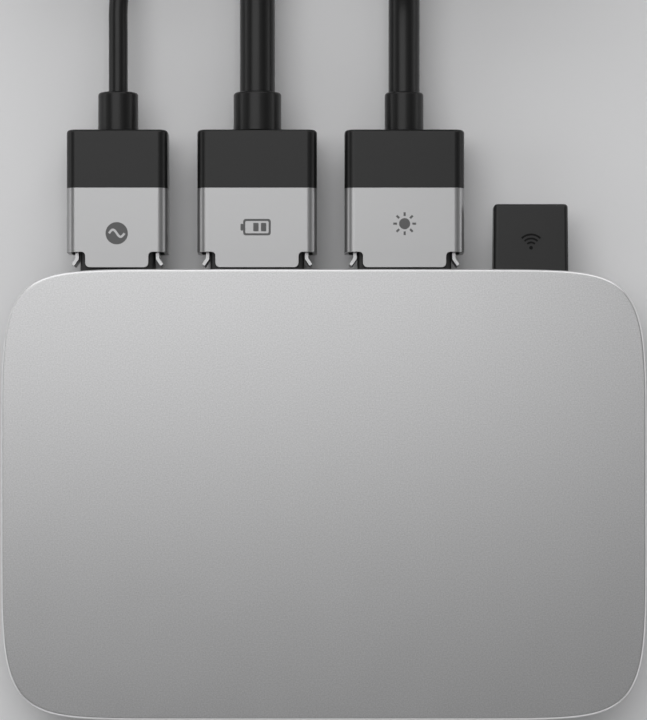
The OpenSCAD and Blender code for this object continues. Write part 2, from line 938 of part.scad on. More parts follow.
module ac_wall_pins() {
    color("lightgray")
        on_tail(AC) {
            for (s = [-1, 1])
                translate([0, s * 9.5, wall_plug_l - 8])
                    rotate_extrude()
                        polygon(concat([[0, 0], [2.4, 0]], arc(0.9, 25.5, 1.5, 0, 90), [[0, 27]]));
            for (s = [-1, 1])
                translate([s * (wall_plug_r - 2.1), 0, wall_plug_l - 9])
                    cube([0.8, 5, 18], center = true);
        }
}

// Battery connector: boot, body with grip ribs, and a nose with flat contacts
connector_w = 36;
connector_t = 22;
connector_boot_l = 14;
connector_body_l = 34;
connector_nose_l = 12;

module battery_connector() {
    top = connector_boot_l + connector_body_l;
    color("#232427")
        on_tail(BATTERY)
            difference() {
                union() {
                    rotate_extrude()
                        polygon(concat([[0, 0]], grooved(8.6, 10.4, connector_boot_l + 1, 3, 0.9),
                            [[0, connector_boot_l + 1]]));
                    translate([0, 0, connector_boot_l])
                        linear_extrude(connector_body_l)
                            rounded_rect(connector_t, connector_w, 5, 5);
                    translate([0, 0, top - 1])
                        linear_extrude(connector_nose_l + 1)
                            rounded_rect(connector_t - 8, connector_w - 8, 2, 4);
                }
                for (k = [0 : 4], s = [-1, 1])
                    translate([s * connector_t / 2, 0, connector_boot_l + 9 + 4 * k])
                        cube([1.6, connector_w - 14, 1.8], center = true);
                terminal_places()
                    cube([1.6, 8, connector_nose_l - 2], center = true);
            }
}

module terminal_places() {
    z = connector_boot_l + connector_body_l + connector_nose_l / 2;
    for (sx = [-1, 1], sy = [-1, 1])
        translate([sx * (connector_t - 8) / 2, sy * 7, z])
            children();
}

module battery_terminals() {
    color("goldenrod")
        on_tail(BATTERY)
            terminal_places()
                cube([1.6, 8, connector_nose_l - 2], center = true);
}

// Solar splitter: the cord goes in at one end, two single leads come out of the other
splitter_l = 28;
splitter_w = 22;
splitter_t = 12.6;
lead_d = 5.6;
lead_side = 5.2;
lead_spread = 9.2;
lead_rings = 12;
lead_turn_in = 20;
pv_r = 8;

module solar_splitter() {
    color("#222326")
        on_tail(SOLAR)
            union() {
                rotate_extrude()
                    polygon([[0, 0], [6.1, 0], [6.4, 2.5], [6.4, 5], [0, 5]]);
                translate([0, 0, 4])
                    linear_extrude(splitter_l - 4)
                        rounded_rect(splitter_t, splitter_w, 4, 5);
            }
}

// Single leads: curves that follow the top of the coil and spread apart
lead_on = coil_heading(SOLAR, coil_turns[SOLAR]);
lead_out = [-lead_on[1], lead_on[0], 0];
lead_from = tail_end(SOLAR) + splitter_l * lead_on;
lead_centre = [coil_at[SOLAR][0], relief_y + coil_at[SOLAR][1], 0];
lead_ring_r = coil_r[SOLAR] - turn_pitch[SOLAR] * 0.6;
lead_end_z = lead_from[2] - cord_d[SOLAR] / 2 + pv_r + 1.8;

function lead_curve(side) =
    let (
        turn = side > 0 ? 84 : 100,
        from = lead_from + lead_d * lead_on + side * lead_side * lead_out,
        arm = [from[0], from[1], 0] - lead_centre,
        r0 = norm(arm),
        a0 = atan2(arm[1], arm[0]),
        r1 = lead_ring_r + side * lead_spread,
        across = lead_on * arm / r0,
        slope0 = across / sqrt(1 - across * across) * r0 * turn * PI / 180,
        slope1 = tan(lead_turn_in) * r1 * turn * PI / 180
    )
    [
        for (k = [0 : lead_rings])
            let (
                f = k / lead_rings,
                ease = f * f * (3 - 2 * f),
                a = a0 - turn * f,
                r = r0 + (r1 - r0) * ease + slope0 * f * pow(1 - f, 2) + slope1 * f * f * (1 - f)
            )
            lead_centre + [r * cos(a), r * sin(a), from[2] + (lead_end_z - from[2]) * ease]
    ];
function lead_heading(side) =
    let (p = lead_curve(side), d = p[lead_rings] - p[lead_rings - 1])
    unit([d[0], d[1], 0]);
function lead_path(side) =
    let (p = lead_curve(side))
    concat([p[0] - lead_d * lead_on], p, [p[lead_rings] + lead_d * lead_heading(side)]);

module solar_leads() {
    color("#1c1d1f")
        for (s = [-1, 1])
            tube(lead_path(s), lead_d, 8, lead_on, lead_heading(s));
}

// Photovoltaic connectors: ribbed nut, sleeve and barrel, one with a collar and one without
module pv_connectors() {
    color("#1a1b1d")
        for (s = [-1, 1]) {
            path = lead_path(s);
            h = lead_heading(s);
            translate(path[len(path) - 1])
                rotate([0, 0, atan2(h[1], h[0])])
                    rotate([0, 90, 0])
                        pv_connector(s > 0);
        }
}

module pv_connector(collared) {
    nut_l = 17;
    barrel_l = collared ? 46 : 50;
    difference() {
        rotate_extrude()
            polygon(concat(
                [[0, 0], [4.4, 0], [6.2, 1.5], [pv_r - 0.4, 4], [pv_r - 0.4, nut_l], [6, nut_l + 0.6]],
                [[6, nut_l + 2], [6.8, nut_l + 3], [6.8, 34]],
                collared ? [[pv_r - 0.6, 35], [pv_r - 0.6, 41], [5.4, 42]] : [[5.2, 35.5], [5.2, 44], [4.6, 45]],
                [[collared ? 5.4 : 4.6, barrel_l], [0, barrel_l]]
            ));
        for (k = [0 : 9])
            rotate([0, 0, 36 * k])
                translate([pv_r - 0.4, 0, 10.5])
                    cube([1.2, 2, 9], center = true);
        translate([0, 0, barrel_l - 12])
            cylinder(h = 13, r = 1.9);
    }
}

front_cover();
cover_gasket();
rear_housing();
cover_screws();
main_board();
transformer_cores();
transformer_windings();
filter_chokes();
bulk_capacitors();
film_capacitors();
power_transistors();
thermal_pads();
grid_relays();
control_board();
inner_screws();
socket(AC);  // ac_socket
socket(BATTERY);  // battery_socket
socket(SOLAR);  // solar_socket
socket_pins();
port_seals();
antenna_cover();
antenna_board();
plug_shell(AC);  // ac_plug_shell
plug_cap(AC);  // ac_plug_cap
plug_insert(AC);  // ac_plug_insert
plug_contacts(AC);  // ac_plug_contacts
latch(AC, -1);  // ac_latch_left
latch(AC, 1);  // ac_latch_right
latch_pins(AC);  // ac_latch_pins
strain_relief(AC);  // ac_strain_relief
cord(AC);  // ac_cord
coil(AC);  // ac_coil
ac_wall_plug();
ac_wall_pins();
plug_shell(BATTERY);  // battery_plug_shell
plug_cap(BATTERY);  // battery_plug_cap
plug_insert(BATTERY);  // battery_plug_insert
plug_contacts(BATTERY);  // battery_plug_contacts
latch(BATTERY, -1);  // battery_latch_left
latch(BATTERY, 1);  // battery_latch_right
latch_pins(BATTERY);  // battery_latch_pins
strain_relief(BATTERY);  // battery_strain_relief
cord(BATTERY);  // battery_cord
coil(BATTERY);  // battery_coil
battery_connector();
battery_terminals();
plug_shell(SOLAR);  // solar_plug_shell
plug_cap(SOLAR);  // solar_plug_cap
plug_insert(SOLAR);  // solar_plug_insert
plug_contacts(SOLAR);  // solar_plug_contacts
latch(SOLAR, -1);  // solar_latch_left
latch(SOLAR, 1);  // solar_latch_right
latch_pins(SOLAR);  // solar_latch_pins
strain_relief(SOLAR);  // solar_strain_relief
cord(SOLAR);  // solar_cord
coil(SOLAR);  // solar_coil
solar_splitter();
solar_leads();
pv_connectors();
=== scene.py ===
import json
import math

import bpy
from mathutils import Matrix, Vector


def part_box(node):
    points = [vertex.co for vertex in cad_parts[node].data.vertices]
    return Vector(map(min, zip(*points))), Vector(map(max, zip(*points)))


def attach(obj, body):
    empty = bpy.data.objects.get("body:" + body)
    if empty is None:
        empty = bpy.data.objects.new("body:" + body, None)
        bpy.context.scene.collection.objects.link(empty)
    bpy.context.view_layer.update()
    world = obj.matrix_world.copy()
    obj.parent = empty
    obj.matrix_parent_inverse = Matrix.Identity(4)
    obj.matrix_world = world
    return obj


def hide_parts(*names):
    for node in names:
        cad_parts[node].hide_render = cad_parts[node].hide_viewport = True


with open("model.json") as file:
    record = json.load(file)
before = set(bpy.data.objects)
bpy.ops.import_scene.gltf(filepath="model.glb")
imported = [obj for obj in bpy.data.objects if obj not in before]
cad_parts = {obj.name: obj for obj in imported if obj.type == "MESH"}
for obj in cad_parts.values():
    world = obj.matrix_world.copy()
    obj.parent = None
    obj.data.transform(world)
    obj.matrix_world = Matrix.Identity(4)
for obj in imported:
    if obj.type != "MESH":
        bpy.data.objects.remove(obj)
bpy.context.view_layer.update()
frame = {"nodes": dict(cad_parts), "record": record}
mm = 0.001
bodyOf = {node: body for body, nodes in frame["record"]["behaviour"]["bodies"].items() for node in nodes}
slotOf = {sub["node"]: sub["material_slot"] for sub in frame["record"]["subparts"]}
print("frame loaded:", len(bodyOf), "nodes")


# selection, modifiers and new objects

def clearSelection():
    if bpy.context.mode != "OBJECT":
        bpy.ops.object.mode_set(mode="OBJECT")
    bpy.ops.object.select_all(action="DESELECT")


def makeActive(*pieces):  # selects these pieces alone, with the first one active
    clearSelection()
    for piece in pieces:
        piece.select_set(True)
    bpy.context.view_layer.objects.active = pieces[0]


def editPart(piece, mode, wanted):  # edit mode, with only the wanted faces or edges selected
    makeActive(piece)
    bpy.ops.object.mode_set(mode="EDIT")
    bpy.ops.mesh.select_mode(type=mode)
    bpy.ops.mesh.select_all(action="DESELECT")
    bpy.ops.object.mode_set(mode="OBJECT")
    parts = {"EDGE": piece.data.edges, "FACE": piece.data.polygons}[mode]
    for part in parts:
        part.select = wanted(part)
    bpy.ops.object.mode_set(mode="EDIT")


def applyModifier(piece, kind, **settings):
    makeActive(piece)
    modifier = piece.modifiers.new(kind.lower(), kind)
    for key, value in settings.items():
        setattr(modifier, key, value)
    bpy.ops.object.modifier_apply(modifier=modifier.name)


def smoothFaces(piece, angle):  # edges that turn more than the angle stay sharp
    makeActive(piece)
    bpy.ops.object.shade_smooth_by_angle(angle=math.radians(angle))


def newPiece(name, data):
    piece = bpy.data.objects.new(name, data)
    bpy.context.scene.collection.objects.link(piece)
    return piece


# camera: straight down on the front face

cameraSet = {
    "distance": 1250,      # from the front face, mm
    "pixelsPerMm": 2.671,  # at the front face
    "imageHeight": 720,
    "axisDown": 134.6,     # pixels from the middle of the image to the lens axis
    "axisRight": 0.4,
    "sensor": 36,          # mm
    "clipEnd": 20,         # m
}
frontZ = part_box("front_cover")[1].z
clearSelection()
bpy.ops.object.camera_add(location=(0, 0, frontZ + cameraSet["distance"] * mm), rotation=(0, 0, 0))
camera = bpy.context.object
camera.data.sensor_width = cameraSet["sensor"]
focalPixels = cameraSet["pixelsPerMm"] * cameraSet["distance"]
camera.data.lens = focalPixels / cameraSet["imageHeight"] * cameraSet["sensor"]
camera.data.shift_x = -cameraSet["axisRight"] / cameraSet["imageHeight"]
camera.data.shift_y = cameraSet["axisDown"] / cameraSet["imageHeight"]
camera.data.clip_end = cameraSet["clipEnd"]
bpy.context.scene.camera = camera
bpy.context.scene.view_settings.view_transform = "Standard"
print("camera placed")


# finishes

class Wire:
    def __init__(self, finish, socket):
        self.finish = finish
        self.socket = socket

    def maths(self, operation, first, second):
        return self.finish.add("ShaderNodeMath", {"operation": operation}, {0: first, 1: second})

    def __add__(self, other):
        return self.maths("ADD", self, other)

    def __radd__(self, other):
        return self.maths("ADD", other, self)

    def __sub__(self, other):
        return self.maths("SUBTRACT", self, other)

    def __rsub__(self, other):
        return self.maths("SUBTRACT", other, self)

    def __mul__(self, other):
        return self.maths("MULTIPLY", self, other)

    def __rmul__(self, other):
        return self.maths("MULTIPLY", other, self)


class Finish:
    def __init__(self, name, **sockets):
        self.material = bpy.data.materials.new(name)
        self.material.use_nodes = True
        self.tree = self.material.node_tree
        self.shader = self.tree.nodes["Principled BSDF"]
        self.feed(self.shader, {key.replace("_", " "): value for key, value in sockets.items()})

    def feed(self, node, sockets):
        for key, value in sockets.items():
            if isinstance(value, Wire):
                self.tree.links.new(value.socket, node.inputs[key])
            else:
                node.inputs[key].default_value = value

    def add(self, kind, settings=None, sockets=None, output=0):
        node = self.tree.nodes.new(kind)
        for key, value in (settings or {}).items():
            if key == "stops":
                for stop, (place, tone) in zip(node.color_ramp.elements, value):
                    stop.position = place
                    stop.color = (tone, tone, tone, 1)
            else:
                setattr(node, key, value)
        self.feed(node, sockets or {})
        return Wire(self, node.outputs[output])

    def place(self, stretch=(1, 1, 1)):
        where = self.add("ShaderNodeTexCoord", output="Object")
        if stretch == (1, 1, 1):
            return where
        return self.add("ShaderNodeMapping", {}, {"Vector": where, "Scale": stretch})

    def noise(self, scale, detail, stretch=(1, 1, 1)):
        sockets = {"Vector": self.place(stretch), "Scale": scale, "Detail": detail}
        return self.add("ShaderNodeTexNoise", {}, sockets)

    def bands(self, scale, direction, distortion):
        sockets = {"Vector": self.place(), "Scale": scale, "Distortion": distortion}
        return self.add("ShaderNodeTexWave", {"wave_type": "BANDS", "bands_direction": direction}, sockets)

    def ramp(self, factor, low, high):  # a value of 0 up to low and of 1 from high on
        return self.add("ShaderNodeValToRGB", {"stops": [(low, 0), (high, 1)]}, {0: factor})

    def mix(self, factor, first, second):  # a Mix node's colours are its inputs 6 and 7 and its output 2
        colours = {i: c if isinstance(c, Wire) else (*c, 1) for i, c in ((6, first), (7, second))}
        return self.add("ShaderNodeMix", {"data_type": "RGBA"}, {0: factor, **colours}, 2)

    def colour(self, wire):
        self.feed(self.shader, {"Base Color": wire})

    def rough(self, wire):
        self.feed(self.shader, {"Roughness": wire})

    def relief(self, height, depth):  # depth in mm
        bump = self.add("ShaderNodeBump", {}, {"Distance": depth * mm, "Height": height})
        self.feed(self.shader, {"Normal": bump})


def grey(tone):
    return (tone, tone, tone * 1.01)  # a trace of blue


grainSet = {"detail": 2, "broad": 40, "broadDetail": 3}  # broad: the mottle's size in grains


# a finish with a fine grain: two tones, a grain size in mm, a roughness with a spread, a depth in mm,
# a stretch of the grain, and the share of a broad mottle
def grained(name, dark, light, grain, rough, spread, depth, stretch=(1, 1, 1), mottle=0.3, **sockets):
    finish = Finish(name, **sockets)
    fine = finish.noise(1 / (grain * mm), grainSet["detail"], stretch)
    broad = finish.noise(1 / (grain * grainSet["broad"] * mm), grainSet["broadDetail"])
    finish.tone = finish.mix(fine * (1 - mottle) + broad * mottle, dark, light)
    finish.colour(finish.tone)
    finish.rough(fine * spread + broad * spread + (rough - spread))
    finish.relief(fine, depth)
    return finish


rollSet = {  # the cover's rolled edge, and the painted highlight on it
    "height": 1.1,          # mm
    # tone of the painted highlight on the roll
    "tone": 0.74,
    "begins": (0.02, 0.1),  # shares of the height, from below
    "ends": (0.88, 0.985),
}


def coverFinish():  # bead-blasted and anodised, with a painted highlight on the rolled edge
    finish = grained("anodisedCover", grey(0.34), grey(0.62), 0.5, 0.32, 0.03, 0.012,
                     mottle=0.05, Metallic=0.8)
    height = finish.add("ShaderNodeSeparateXYZ", {}, {"Vector": finish.place()}, 2)
    rise = rollSet["height"] * mm
    up = (height - (frontZ - rise)) * (1 / rise)  # 0 below the roll, 1 at the face
    # painted highlight: the rolled edge gets a lighter colour in place of the bright rim that light gives it
    rimHighlight = finish.ramp(up, *rollSet["begins"]) * (1 - finish.ramp(up, *rollSet["ends"]))
    finish.colour(finish.mix(rimHighlight, finish.tone, grey(rollSet["tone"])))
    return finish


boardSet = {
    "pattern": {"offset": 0.37, "squash": 1.6},
    "size": {"Scale": 120.0, "Mortar Size": 0.06, "Mortar Smooth": 0.1},
    "edge": (0.3, 0.6), "mottle": 90, "mottleDetail": 3,
    "maskDark": (0.012, 0.085, 0.032), "maskLight": (0.02, 0.13, 0.05), "track": (0.05, 0.22, 0.1),
    "rough": 0.42, "trackGloss": 0.12, "depth": 0.03,
}


def boardFinish():  # solder mask with tracks under it
    b = boardSet
    finish = Finish("boardGreen", Metallic=0.0)
    seams = finish.add("ShaderNodeTexBrick", b["pattern"], {"Vector": finish.place(), **b["size"]}, 1)
    tracks = finish.ramp(seams, *b["edge"])
    mask = finish.mix(finish.noise(b["mottle"], b["mottleDetail"]), b["maskDark"], b["maskLight"])
    finish.colour(finish.mix(tracks, mask, b["track"]))
    finish.rough(b["rough"] - tracks * b["trackGloss"])
    finish.relief(tracks, b["depth"])
    return finish


windingSet = {
    "scale": 420, "waver": 0.4, "gap": (0.2, 0.07, 0.025), "wire": (0.62, 0.3, 0.13),
    "rough": 0.5, "wireGloss": 0.2, "depth": 0.2,
}


def windingFinish():  # lacquered wire, turn beside turn, with painted shade in the gaps between turns
    w = windingSet
    finish = Finish("copperWinding", Metallic=0.85)
    turns = finish.bands(w["scale"], "Z", w["waver"])
    # painted shade: the gaps between turns are darker than the wire
    finish.colour(finish.mix(turns, w["gap"], w["wire"]))
    finish.rough(w["rough"] - turns * w["wireGloss"])
    finish.relief(turns, w["depth"])
    return finish


pileSet = {
    "scale": 2600, "detail": 3, "loops": 1500.0, "dark": (0.012, 0.012, 0.013), "light": (0.05, 0.05, 0.053),
    "rough": 0.75, "spread": 0.2, "depth": 0.12,
}


def strapFinish():  # hook-and-loop tape: a dense short pile
    p = pileSet
    finish = Finish("strapPile", Specular_IOR_Level=0.25, Sheen_Weight=0.25, Sheen_Roughness=0.5)
    pile = finish.noise(p["scale"], p["detail"])
    loops = finish.add("ShaderNodeTexVoronoi", {}, {"Vector": finish.place(), "Scale": p["loops"]})
    finish.colour(finish.mix(pile, p["dark"], p["light"]))
    finish.rough(pile * p["spread"] + p["rough"])
    finish.relief(pile + loops, p["depth"])
    return finish


finishes = {
    "cover_aluminium": coverFinish(),
    "housing_aluminium": grained("powderCoat", grey(0.05), grey(0.085), 0.45, 0.62, 0.08, 0.05),
    "seal_rubber": grained("softSeal", grey(0.012), grey(0.02), 0.3, 0.8, 0.08, 0.01),
    "screw_steel": grained("zincScrew", grey(0.42), grey(0.6), 0.2, 0.38, 0.08, 0.008, Metallic=1.0),
    "board_green": boardFinish(),
    "ferrite": grained("ferriteCore", grey(0.03), grey(0.06), 0.25, 0.7, 0.1, 0.02),
    "copper_wire": windingFinish(),
    "capacitor_can": grained("capSleeve", (0.03, 0.04, 0.07), (0.05, 0.065, 0.1), 0.5, 0.35, 0.05, 0.005),
    "film_box": grained("filmBox", (0.55, 0.4, 0.04), (0.72, 0.55, 0.09), 0.6, 0.4, 0.05, 0.01),
    "chip_black": grained("chipBlack", grey(0.01), grey(0.022), 0.15, 0.6, 0.08, 0.01),
    "thermal_pad": grained("thermalSheet", (0.2, 0.26, 0.34), (0.3, 0.36, 0.45), 0.4, 0.75, 0.06, 0.02),
    "socket_black": grained("socketBlack", grey(0.012), grey(0.024), 0.16, 0.5, 0.06, 0.012),
    "antenna_black": grained("antennaBlack", grey(0.007), grey(0.013), 0.3, 0.34, 0.05, 0.012,
                             Specular_IOR_Level=0.35),
    "plug_silver": grained("satinShell", grey(0.32), grey(0.37), 0.2, 0.29, 0.03, 0.001, Metallic=0.75),
    "plug_black": grained("plugBlack", grey(0.006), grey(0.011), 0.3, 0.3, 0.04, 0.01,
                          Specular_IOR_Level=0.295),
    "insert_grey": grained("insertGrey", grey(0.035), grey(0.055), 0.16, 0.55, 0.06, 0.012),
    "contact_gold": grained("goldContact", (0.66, 0.42, 0.13), (0.85, 0.6, 0.24), 0.2, 0.28, 0.06, 0.003,
                            Metallic=1.0),
    "latch_steel": grained("springStrip", grey(0.4), grey(0.52), 0.12, 0.34, 0.07, 0.004, (1, 0.06, 1),
                           Metallic=0.9),
    "cord_black": grained("cordSheath", grey(0.006), grey(0.01), 0.35, 0.3, 0.04, 0.01,
                          Specular_IOR_Level=0.31),
    "pin_nickel": grained("nickelPin", (0.5, 0.48, 0.44), (0.7, 0.68, 0.63), 0.2, 0.25, 0.06, 0.003,
                          Metallic=1.0),
    "strap": strapFinish(),
    "printGrey": grained("printGrey", grey(0.1), grey(0.125), 0.12, 0.6, 0.05, 0.002),
    "printBlack": grained("printBlack", grey(0.005), grey(0.009), 0.12, 0.6, 0.05, 0.002,
                          Specular_IOR_Level=0.1),
}
print("finishes made:", len(finishes))


def wear(piece, finish):
    piece.data.materials.clear()
    piece.data.materials.append(finishes[finish].material)


# cords: one curve each, from the strain relief through its coil to the far end

layout = {
    "reliefY": 152.3,    # where the cords leave their strain reliefs, mm
    "portZ": 16.5,       # height of the plugs' middle
    "turnGap": 0.6,      # between the turns of a coil
    "tie": 0.8,          # room for the strap under a coil
    "hidden": 4.0,       # length of each end that is inside a piece
    "reverse": 0.5,      # turns in which a coil's spiral reverses and climbs a layer
    "ringsPerTurn": 24,
    "stepsPerSpan": 3,   # between two points of a route
    "roundness": 6,      # of a cord's section
}
# a route's points are sideways, onwards and the share of the drop that is left, and a tail's points are
# the way past the coil and the share of the coil's height that is left
cordSet = {
    "ac": {
        "portX": -78.0, "diameter": 7.2, "length": 3.05, "farEnd": "plug", "stiffness": "medium",
        "coilAt": (-83.4, 113), "coilR": 44, "way": 1, "first": -45, "turns": 12.208, "layer": 1.618,
        "base": 0, "firstLayer": 0, "sweep": (0, 0), "endZ": 18.5, "tieAt": 190,
        "route": [(0, 0, 1), (0, 11, 1), (0, 22, 1), (0, 33, 0.93), (1.1, 43.9, 0.74), (4.3, 54.4, 0.42),
                  (9.5, 64.1, 0.15), (15.8, 71.9, 0.02)],
        "tail": [(10, 1), (20, 1), (30, 0.93), (40, 0.77), (50, 0.55), (60, 0.32), (70, 0.13), (80, 0.01),
                 (86, 0)],
        "ends": ["ac_wall_plug", "ac_wall_pins"],
    },
    "battery": {
        "portX": -25.2, "diameter": 13.3, "length": 1.55, "farEnd": "connector", "stiffness": "stiff",
        "coilAt": (52.8, 163.7), "coilR": 78, "way": -1, "first": 180, "turns": 3.194, "layer": 1.347,
        "base": 0, "firstLayer": 1, "sweep": (0, 0), "endZ": 11, "tieAt": 10,
        "route": [(0, 0, 1), (0, 12, 1), (0, 24, 1), (0, 38, 0.94), (0, 52, 0.77), (0, 66, 0.5),
                  (0, 80, 0.22), (0, 94, 0.06), (0, 108, 0), (0, 126, 0)],
        "tail": [(10, 1), (20, 0.9), (30, 0.6), (40, 0.2), (50, 0)],
        "ends": ["battery_connector", "battery_terminals"],
    },
    "solar": {  # its coil lies on the battery coil
        "portX": 30.4, "diameter": 11.8, "length": 1.45, "farEnd": "fitting", "stiffness": "stiff",
        "coilAt": (62, 155.7), "coilR": 68, "way": -1, "first": 220, "turns": 3.444, "layer": 1.137,
        "base": 29.3, "firstLayer": 0, "sweep": (0.22, 200), "endZ": None, "tieAt": 165,
        "route": [(0, 0, 1), (0, 12, 1), (0, 25, 1), (0, 33, 0.968), (0, 41, 0.874), (0, 49, 0.716),
                  (0, 57, 0.508), (0, 64.8, 0.33), (-0.9, 75, 0.155), (-3.4, 84.9, 0.046),
                  (-7.5, 94.2, 0.001)],
        "tail": [(11.8, 1)],
        "ends": ["solar_splitter"],
    },
}


def coilCentre(lead):
    x, y = lead["coilAt"]
    return Vector((x, layout["reliefY"] + y, 0))


def coilPoint(lead, s):  # the place after s turns of a spiral that runs in and out again, layer on layer
    reverse = layout["reverse"]
    layerTurns = lead["layer"] + reverse
    run = s + reverse / 2
    layer, along = divmod(run, layerTurns)
    wave = (along if layer % 2 == 0 else layerTurns - along) - reverse / 2
    change = round(run / layerTurns)
    climb = max(0, min(1, (run - change * layerTurns) / reverse + 0.5))
    level = change - 1 + climb * climb * (3 - 2 * climb) if change else 0
    pitch = lead["diameter"] + layout["turnGap"]
    sweepTurns, sweepRate = lead["sweep"]
    inward = sweepRate * max(0, s - lead["turns"] + sweepTurns) ** 2
    radius = lead["coilR"] - pitch * wave - inward
    angle = math.radians(lead["first"] + lead["way"] * 360 * s)
    z = lead["base"] + lead["diameter"] / 2 + layout["tie"] + pitch * abs(lead["firstLayer"] - level)
    return coilCentre(lead) + Vector((radius * math.cos(angle), radius * math.sin(angle), z))


def coilHeading(lead, s, step=0.001):
    way = coilPoint(lead, s + step) - coilPoint(lead, s - step)
    return Vector((way.x, way.y, 0)).normalized()


def cordPoints(lead):
    first = coilPoint(lead, 0)
    drop = layout["portZ"] - first.z
    points = [Vector((lead["portX"], layout["reliefY"] - layout["hidden"], layout["portZ"]))]
    points += [Vector((lead["portX"] + side, layout["reliefY"] + on, first.z + drop * share))
               for side, on, share in lead["route"]]
    points.append(first - lead["diameter"] * coilHeading(lead, 0))
    rings = round(lead["turns"] * layout["ringsPerTurn"])
    points += [coilPoint(lead, lead["turns"] * k / rings) for k in range(rings + 1)]
    end = coilPoint(lead, lead["turns"])
    on = coilHeading(lead, lead["turns"])
    endZ = end.z if lead["endZ"] is None else lead["endZ"]
    for distance, share in lead["tail"]:
        spot = end + distance * on
        points.append(Vector((spot.x, spot.y, endZ + (end.z - endZ) * share)))
    points.append(points[-1] + layout["hidden"] * on)
    return points


def between(a, b, slopeA, slopeB, f):  # the way from a to b at the share f, with a slope at each end
    return (a * (1 + 2 * f) * (1 - f) ** 2 + b * f * f * (3 - 2 * f)
            + slopeA * f * (1 - f) ** 2 - slopeB * f * f * (1 - f))


def smoothLine(points):  # a curve through the points, in metres
    spans = [(b - a).length for a, b in zip(points, points[1:])]
    slopes = [(b - a) / span for a, b, span in zip(points, points[1:], spans)]
    headings = [slopes[0]]
    for before, after, a, b in zip(slopes, slopes[1:], spans, spans[1:]):
        headings.append((before * b + after * a) / (a + b))
    headings.append(slopes[-1])
    line = []
    for k, span in enumerate(spans):
        for step in range(layout["stepsPerSpan"]):
            f = step / layout["stepsPerSpan"]
            line.append(between(points[k], points[k + 1], headings[k] * span, headings[k + 1] * span, f))
    return [p * mm for p in line + [points[-1]]]


def cordCurve(name, points, diameter):
    line = smoothLine(points)
    curve = bpy.data.curves.new(name, "CURVE")
    curve.dimensions = "3D"
    curve.bevel_depth = diameter / 2 * mm
    curve.bevel_resolution = layout["roundness"]
    curve.use_fill_caps = True
    spline = curve.splines.new("POLY")
    spline.points.add(len(line) - 1)
    for spot, p in zip(spline.points, line):
        spot.co = (*p, 1)
    spline.use_smooth = True
    piece = newPiece(name, curve)
    wear(piece, "cord_black")
    return piece


cords = {}
for key, lead in cordSet.items():
    cords[key] = cordCurve(key + "_lead_cord", cordPoints(lead), lead["diameter"])
    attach(cords[key], key + "_lead")
    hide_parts(key + "_cord", key + "_coil")


# two single leads from the splitter to the photovoltaic connectors, over the solar coil

branchSet = {
    "diameter": 5.6, "length": 0.13,
    "splitter": 28,            # length of the splitter, mm
    "apart": 5.2,              # from the splitter's middle to each lead
    "spread": 9.2,             # from the line between the connectors to each of them
    "ringShare": 0.6,          # how far in from the coil's outer turn that line is, in turns
    "turn": {1: 84, -1: 100},  # degrees round the coil, outer and inner
    "turnIn": 20,              # degrees inwards at the connectors
    "pvRadius": 8,             # of a connector
    "lift": 1.8,               # of a connector above the turns
    "rings": 12,
}


def branchPoints(side):
    lead, b = cordSet["solar"], branchSet
    on = coilHeading(lead, lead["turns"])
    out = Vector((-on.y, on.x, 0))
    start = coilPoint(lead, lead["turns"]) + (lead["tail"][-1][0] + b["splitter"]) * on
    source = start + b["diameter"] * on + side * b["apart"] * out
    centre = coilCentre(lead)
    arm = Vector((source.x, source.y, 0)) - centre
    r0, a0 = arm.length, math.atan2(arm.y, arm.x)
    pitch = lead["diameter"] + layout["turnGap"]
    r1 = lead["coilR"] - pitch * b["ringShare"] + side * b["spread"]
    turn = math.radians(b["turn"][side])
    across = on.dot(arm) / r0
    slope0 = across / math.sqrt(1 - across * across) * r0 * turn
    slope1 = -math.tan(math.radians(b["turnIn"])) * r1 * turn
    endZ = start.z - lead["diameter"] / 2 + b["pvRadius"] + b["lift"]
    points = [source - (b["diameter"] + layout["hidden"]) * on, source - b["diameter"] * on]
    for k in range(b["rings"] + 1):
        f = k / b["rings"]
        angle = a0 - turn * f
        radius = between(r0, r1, slope0, slope1, f)
        z = between(source.z, endZ, 0, 0, f)
        points.append(centre + Vector((radius * math.cos(angle), radius * math.sin(angle), z)))
    way = points[-1] - points[-2]
    way = Vector((way.x, way.y, 0)).normalized()
    return points + [points[-1] + b["diameter"] * way, points[-1] + (b["diameter"] + layout["hidden"]) * way]


branchNames = {1: "outer", -1: "inner"}
branches = {}
for side, name in branchNames.items():
    branches[side] = cordCurve("solar_branch_" + name, branchPoints(side), branchSet["diameter"])
    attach(branches[side], "solar_lead")
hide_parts("solar_leads")
print("cords laid:", len(cords) + len(branches))


# straps round the coils, each with a flap on its upper side

strapSet = {
    "width": 11, "thickness": 0.65, "gap": 0.06, "edge": 0.18, "edgeSteps": 2,  # mm
    "flap": 0.42,     # how far down the flap reaches, in cord diameters
    "samples": 30,    # points round each turn
    "sharp": 50, "smooth": 40,  # degrees
}


def turnsLeft(a, b, c):
    return (b[0] - a[0]) * (c[1] - a[1]) - (b[1] - a[1]) * (c[0] - a[0]) > 0


def hullOf(points):  # a taut line round the points
    points = sorted(points)
    chains = []
    for run in (points, points[::-1]):
        chain = []
        for p in run:
            while len(chain) > 1 and not turnsLeft(chain[-2], chain[-1], p):
                chain.pop()
            chain.append(p)
        chains.append(chain[:-1])
    return chains[0] + chains[1]


def turnsCut(lead):  # radius and height of each turn where the strap goes round
    centre = coilCentre(lead)
    s = ((lead["tieAt"] - lead["first"]) * lead["way"] / 360) % 1
    spots = []
    while s <= lead["turns"]:
        p = coilPoint(lead, s)
        spots.append((math.hypot(p.x - centre.x, p.y - centre.y), p.z))
        s += 1
    return spots


